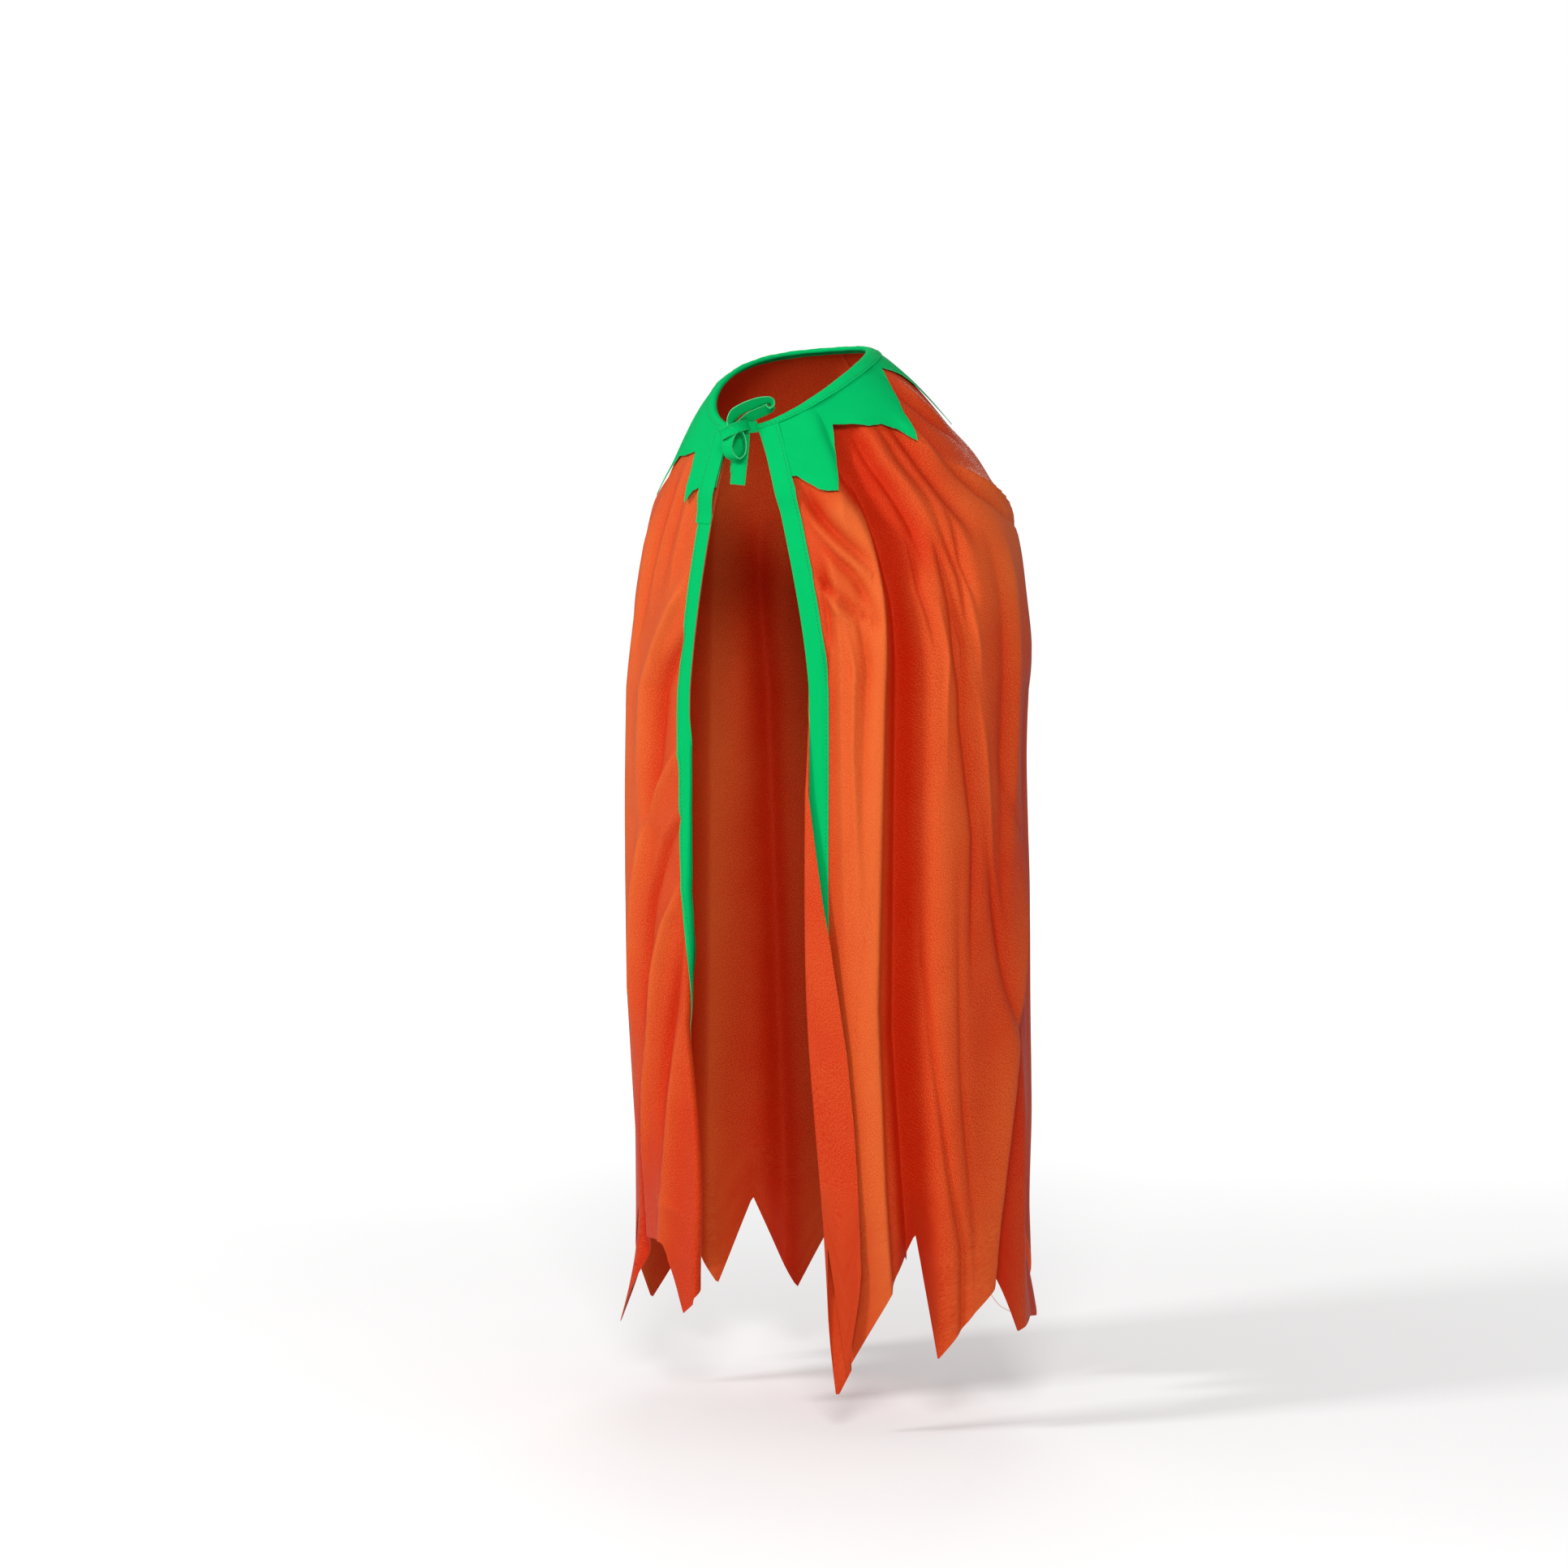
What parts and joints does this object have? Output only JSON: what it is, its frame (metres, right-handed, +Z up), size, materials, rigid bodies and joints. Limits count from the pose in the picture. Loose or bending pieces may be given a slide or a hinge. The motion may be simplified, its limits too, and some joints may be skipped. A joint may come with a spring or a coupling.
{
  "type": "costume cape",
  "caption": "Child's tie-neck costume cape with a pointed leaf collar, faced front edges, a bow and a zigzag hem; the fronts swing open.",
  "frame": {"origin": "middle of the neck opening, where the wearer's neck holds the cape up", "axes": "+Z up towards the wearer's head, -Y towards the wearer's front, +X towards the wearer's left"},
  "size_m": [0.3794, 0.2751, 0.8674],
  "materials": {
    "orange_cloth": "thin polyester satin knit with a soft sheen, raw-cut edges",
    "green_cloth": "plain matt polyester cloth, raw-cut leaf edges",
    "green_thread": "polyester sewing thread"
  },
  "bodies": {
    "shoulders": {"cape_back": "orange_cloth", "leaf_collar": "green_cloth", "neck_binding": "green_cloth", "binding_stitching": "green_thread", "left_facing_upper": "green_cloth", "left_stitching_upper": "green_thread", "right_facing_upper": "green_cloth", "right_stitching_upper": "green_thread", "left_tie": "green_cloth", "right_tie": "green_cloth", "tie_knot": "green_cloth"},
    "left_front_panel": {"left_front": "orange_cloth", "left_facing_lower": "green_cloth", "left_stitching_lower": "green_thread"},
    "right_front_panel": {"right_front": "orange_cloth", "right_facing_lower": "green_cloth", "right_stitching_lower": "green_thread"},
    "upper_loop": {"upper_bow_loop": "green_cloth"},
    "lower_loop": {"lower_bow_loop": "green_cloth"},
    "front_tail": {"front_tie_tail": "green_cloth"},
    "rear_tail": {"rear_tie_tail": "green_cloth"}
  },
  "joints": [
    {"name": "left_front_swing", "type": "hinge", "parent": "shoulders", "child": "left_front_panel", "pos_m": [0.189, 0.045, -0.25], "axis": [0, 0, 1], "range_deg": [-10, 50]},
    {"name": "right_front_swing", "type": "hinge", "parent": "shoulders", "child": "right_front_panel", "pos_m": [-0.189, 0.045, -0.25], "axis": [0, 0, -1], "range_deg": [-10, 50]},
    {"name": "upper_loop_swing", "type": "hinge", "parent": "shoulders", "child": "upper_loop", "pos_m": [0.001, -0.09, -0.033], "axis": [0, 1, 0], "range_deg": [-20, 4]},
    {"name": "lower_loop_swing", "type": "hinge", "parent": "shoulders", "child": "lower_loop", "pos_m": [0.001, -0.09, -0.033], "axis": [0, 1, 0], "range_deg": [-12, 4]},
    {"name": "front_tail_swing", "type": "hinge", "parent": "shoulders", "child": "front_tail", "pos_m": [0.001, -0.0845, -0.033], "axis": [0, 1, 0], "range_deg": [-4, 12]},
    {"name": "rear_tail_swing", "type": "hinge", "parent": "shoulders", "child": "rear_tail", "pos_m": [0.001, -0.082, -0.033], "axis": [0, 1, 0], "range_deg": [-4, 20]}
  ]
}
